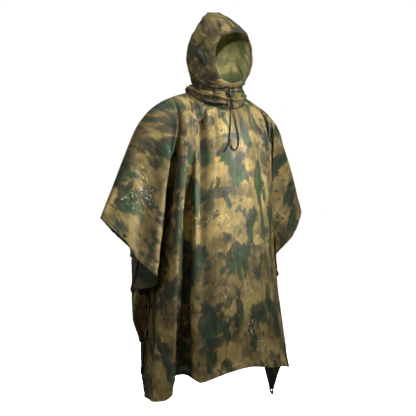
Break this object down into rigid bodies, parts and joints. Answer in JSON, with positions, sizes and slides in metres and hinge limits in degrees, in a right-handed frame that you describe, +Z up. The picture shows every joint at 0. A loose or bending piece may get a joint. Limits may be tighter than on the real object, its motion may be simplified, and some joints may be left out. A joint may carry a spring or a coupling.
{
  "type": "rain poncho",
  "caption": "Worn hooded rain poncho in camouflage cloth, open at neck, face, cuffs and hem, with side snaps, corner grommets and a hood drawcord with its lock.",
  "frame": {"origin": "middle of the neck at the height of the shoulder tops, where the wearer holds the garment up", "axes": "+Z up, front towards -Y, +X to the wearer's left"},
  "size_m": [0.9507, 0.4595, 1.5724],
  "materials": {
    "front_cloth": null,
    "back_cloth": null,
    "hood_cloth": null,
    "band_cloth": "coated ripstop, gathered",
    "casing_cloth": "coated ripstop, turned and stitched",
    "snap_metal": "blackened, worn bright on the edges",
    "grommet_metal": "blackened",
    "lock_plastic": "moulded black",
    "cord": "braided black"
  },
  "bodies": {
    "root": {"front_panel": "front_cloth", "back_panel": "back_cloth", "hood_right": "hood_cloth", "hood_left": "hood_cloth", "neck_band": "band_cloth", "face_casing": "casing_cloth", "snap_front_right_1": "snap_metal", "snap_front_right_2": "snap_metal", "snap_front_right_3": "snap_metal", "snap_front_right_4": "snap_metal", "snap_front_right_5": "snap_metal", "snap_front_left_1": "snap_metal", "snap_front_left_2": "snap_metal", "snap_front_left_3": "snap_metal", "snap_front_left_4": "snap_metal", "snap_front_left_5": "snap_metal", "snap_back_right_1": "snap_metal", "snap_back_right_2": "snap_metal", "snap_back_right_3": "snap_metal", "snap_back_right_4": "snap_metal", "snap_back_right_5": "snap_metal", "snap_back_left_1": "snap_metal", "snap_back_left_2": "snap_metal", "snap_back_left_3": "snap_metal", "snap_back_left_4": "snap_metal", "snap_back_left_5": "snap_metal", "grommet_front_right": "grommet_metal", "grommet_front_left": "grommet_metal", "grommet_back_right": "grommet_metal", "grommet_back_left": "grommet_metal", "cord_eyelet_right": "grommet_metal", "cord_eyelet_left": "grommet_metal", "cord_lock_body": "lock_plastic", "cord_lock_button": "lock_plastic", "drawcord_right": "cord", "drawcord_left": "cord", "drawcord_tail": "cord", "drawcord_knot": "cord"}
  },
  "joints": []
}
